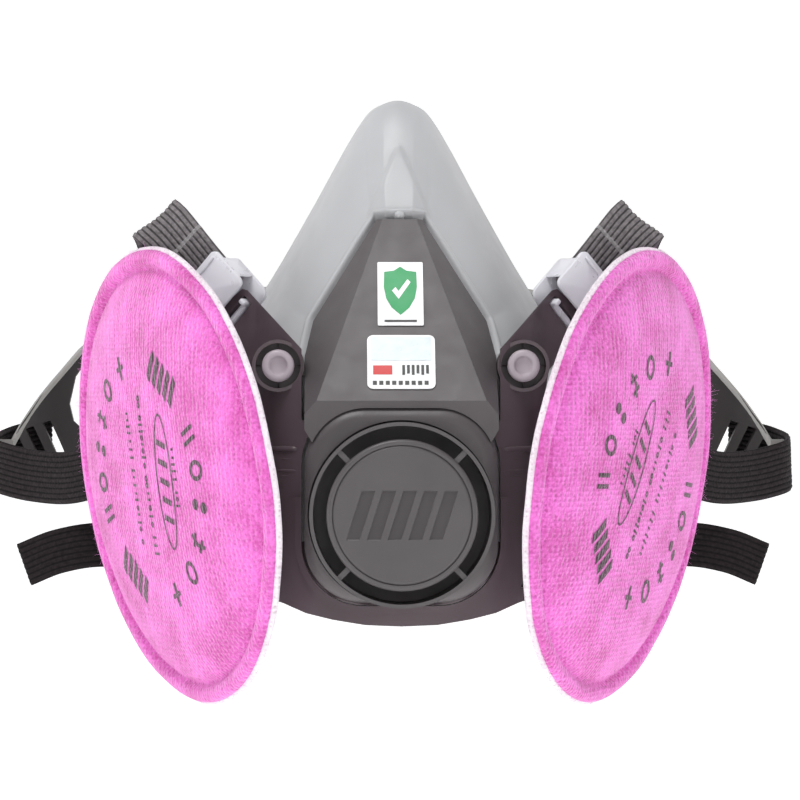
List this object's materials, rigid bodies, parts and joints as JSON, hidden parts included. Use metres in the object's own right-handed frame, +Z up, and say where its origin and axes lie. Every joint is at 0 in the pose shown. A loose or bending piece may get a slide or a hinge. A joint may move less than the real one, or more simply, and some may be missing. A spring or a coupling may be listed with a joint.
{
  "type": "respirator",
  "caption": "Half-face respirator: grey elastomer facepiece, dark front shell with round exhalation cover, round pink disc filters on bayonet ports, head cradle and neck straps.",
  "frame": {"origin": "middle of the opening that seals against the face", "axes": "+Y into the wearer's face, +Z up, +X to the right seen from the front; the front faces -Y"},
  "size_m": [0.2042, 0.1948, 0.1395],
  "materials": {
    "elastomer_grey": "satin moulded elastomer",
    "shell_dark": "fine moulded texture",
    "cover_dark": "fine moulded texture",
    "yoke_dark": "satin",
    "label_white": "satin print",
    "gasket_black": "matte",
    "valve_silicone": "satin",
    "hub_plastic": "satin",
    "filter_pink": "embossed nonwoven",
    "filter_white": "nonwoven",
    "buckle_clear": "frosted translucent",
    "webbing_grey": "ribbed elastic webbing",
    "webbing_dark": "ribbed elastic webbing",
    "cradle_plastic": "satin"
  },
  "bodies": {
    "root": {"facepiece": "elastomer_grey", "front_shell": "shell_dark", "exhalation_seat": "shell_dark", "valve_cover": "cover_dark", "label_upper": "label_white", "label_lower": "label_white", "harness_yoke": "yoke_dark", "inhalation_port_left": "shell_dark", "inhalation_port_right": "shell_dark", "port_gasket_left": "gasket_black", "port_gasket_right": "gasket_black"},
    "exhalation_flap": {"exhalation_flap": "valve_silicone"},
    "inhalation_flap_left": {"inhalation_flap_left": "valve_silicone"},
    "filter_left": {"filter_hub_left": "hub_plastic", "filter_media_left": "filter_pink", "filter_backing_left": "filter_white"},
    "buckle_left": {"buckle_left": "buckle_clear"},
    "inhalation_flap_right": {"inhalation_flap_right": "valve_silicone"},
    "filter_right": {"filter_hub_right": "hub_plastic", "filter_media_right": "filter_pink", "filter_backing_right": "filter_white"},
    "buckle_right": {"buckle_right": "buckle_clear"},
    "harness": {"head_cradle": "cradle_plastic", "strap_keeper_left": "cradle_plastic", "strap_keeper_right": "cradle_plastic", "upper_strap_left": "webbing_grey", "upper_strap_right": "webbing_grey"},
    "neck_harness": {"neck_hook": "shell_dark", "neck_eye": "shell_dark", "neck_strap_left": "webbing_dark", "neck_strap_right": "webbing_dark"}
  },
  "joints": [
    {"name": "exhalation_flap_lift", "type": "slide", "parent": "root", "child": "exhalation_flap", "axis": [0, -1, 0], "range_m": [0, 0.0015]},
    {"name": "inhalation_flap_lift_left", "type": "slide", "parent": "root", "child": "inhalation_flap_left", "axis": [0.887, 0.4403, 0.1392], "range_m": [0, 0.0015]},
    {"name": "filter_twist_left", "type": "hinge", "parent": "root", "child": "filter_left", "pos_m": [-0.0512, -0.0301, -0.02], "axis": [-0.887, -0.4403, -0.1392], "range_deg": [0, 50]},
    {"name": "buckle_pivot_left", "type": "hinge", "parent": "root", "child": "buckle_left", "pos_m": [-0.0366, -0.0424, 0.0167], "axis": [0.6057, -0.3634, 0.7078], "range_deg": [-8, 4], "deforming": ["upper_strap_left"]},
    {"name": "inhalation_flap_lift_right", "type": "slide", "parent": "root", "child": "inhalation_flap_right", "axis": [-0.887, 0.4403, 0.1392], "range_m": [0, 0.0015]},
    {"name": "filter_twist_right", "type": "hinge", "parent": "root", "child": "filter_right", "pos_m": [0.0512, -0.0301, -0.02], "axis": [0.887, -0.4403, -0.1392], "range_deg": [0, 50]},
    {"name": "buckle_pivot_right", "type": "hinge", "parent": "root", "child": "buckle_right", "pos_m": [0.0366, -0.0424, 0.0167], "axis": [0.6057, 0.3634, -0.7078], "range_deg": [-8, 4], "deforming": ["upper_strap_right"]},
    {"name": "harness_swing", "type": "hinge", "parent": "root", "child": "harness", "pos_m": [0, -0.029, 0.036], "axis": [1, 0, 0], "range_deg": [0, 60], "deforming": ["upper_strap_left", "upper_strap_right"]},
    {"name": "neck_swing", "type": "hinge", "parent": "root", "child": "neck_harness", "pos_m": [0, -0.0465, -0.041], "axis": [-1, 0, 0], "range_deg": [0, 40], "deforming": ["neck_strap_left", "neck_strap_right"]}
  ]
}
